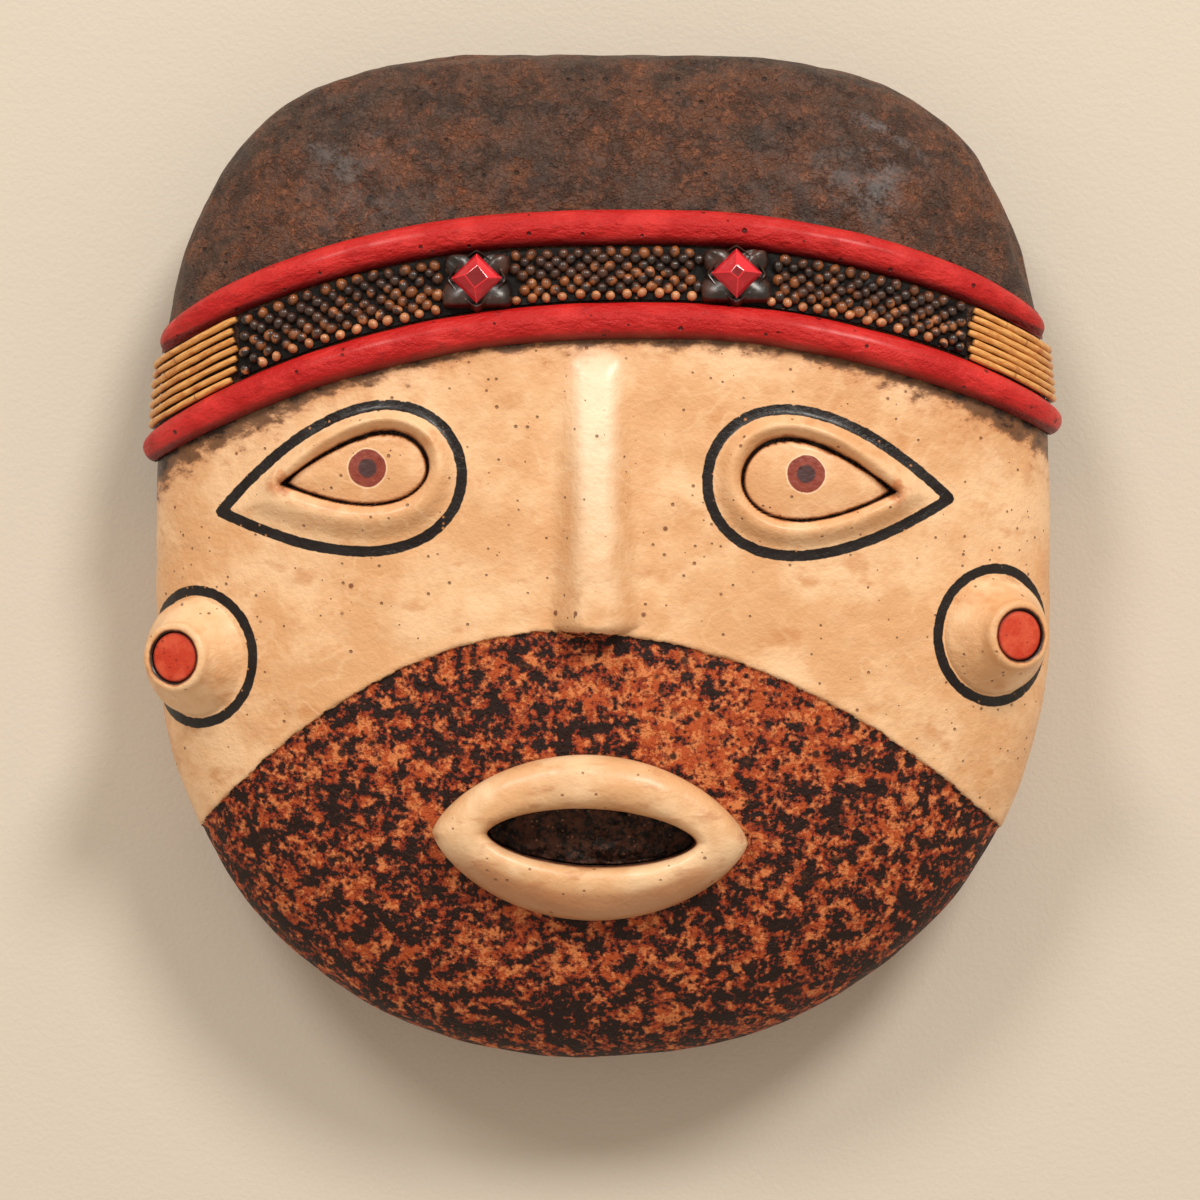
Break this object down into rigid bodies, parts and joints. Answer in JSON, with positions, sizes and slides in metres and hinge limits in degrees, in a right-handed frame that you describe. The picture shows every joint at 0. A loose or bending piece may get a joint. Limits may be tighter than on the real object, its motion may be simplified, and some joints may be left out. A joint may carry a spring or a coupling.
{
  "type": "ceremonial face mask",
  "caption": "Hollow domed ceremonial face mask with a dark cap, red rolls framing a seed band, cane bundles, set stones, ringed eyes, cheek knobs and a raised open mouth.",
  "frame": {"origin": "middle of the bounding box in X and Y, on the flat back rim at Z = 0, with the mask lying on its back", "axes": "+X to the viewer's right, +Y from the chin towards the cap, +Z out of the face"},
  "size_m": [0.2306, 0.253, 0.0745],
  "materials": {
    "face": "waxed carved wood, tan, with a dark lacquered cap and a mottled chin",
    "lips": "waxed, smooth, tan",
    "stuffing": "rough dark pitch",
    "red_roll": "satin red paste, slightly wrinkled",
    "seeds": "glossy seeds in dark pitch",
    "cane": "satin split cane",
    "dark_mount": "glossy dark pitch",
    "red_stone": "polished, faceted, backed",
    "orange_disc": "satin orange-red inlay"
  },
  "bodies": {
    "root": {"mask_body": "face", "mouth_ring": "lips", "mouth_stuffing": "stuffing", "upper_red_roll": "red_roll", "lower_red_roll": "red_roll", "seed_strip": "seeds", "cane_left_1": "cane", "cane_left_2": "cane", "cane_left_3": "cane", "cane_left_4": "cane", "cane_left_5": "cane", "cane_left_6": "cane", "cane_left_7": "cane", "cane_right_1": "cane", "cane_right_2": "cane", "cane_right_3": "cane", "cane_right_4": "cane", "cane_right_5": "cane", "cane_right_6": "cane", "cane_right_7": "cane", "stone_mount_left": "dark_mount", "stone_mount_right": "dark_mount", "red_stone_left": "red_stone", "red_stone_right": "red_stone", "cheek_disc_left": "orange_disc", "cheek_disc_right": "orange_disc"}
  },
  "joints": []
}
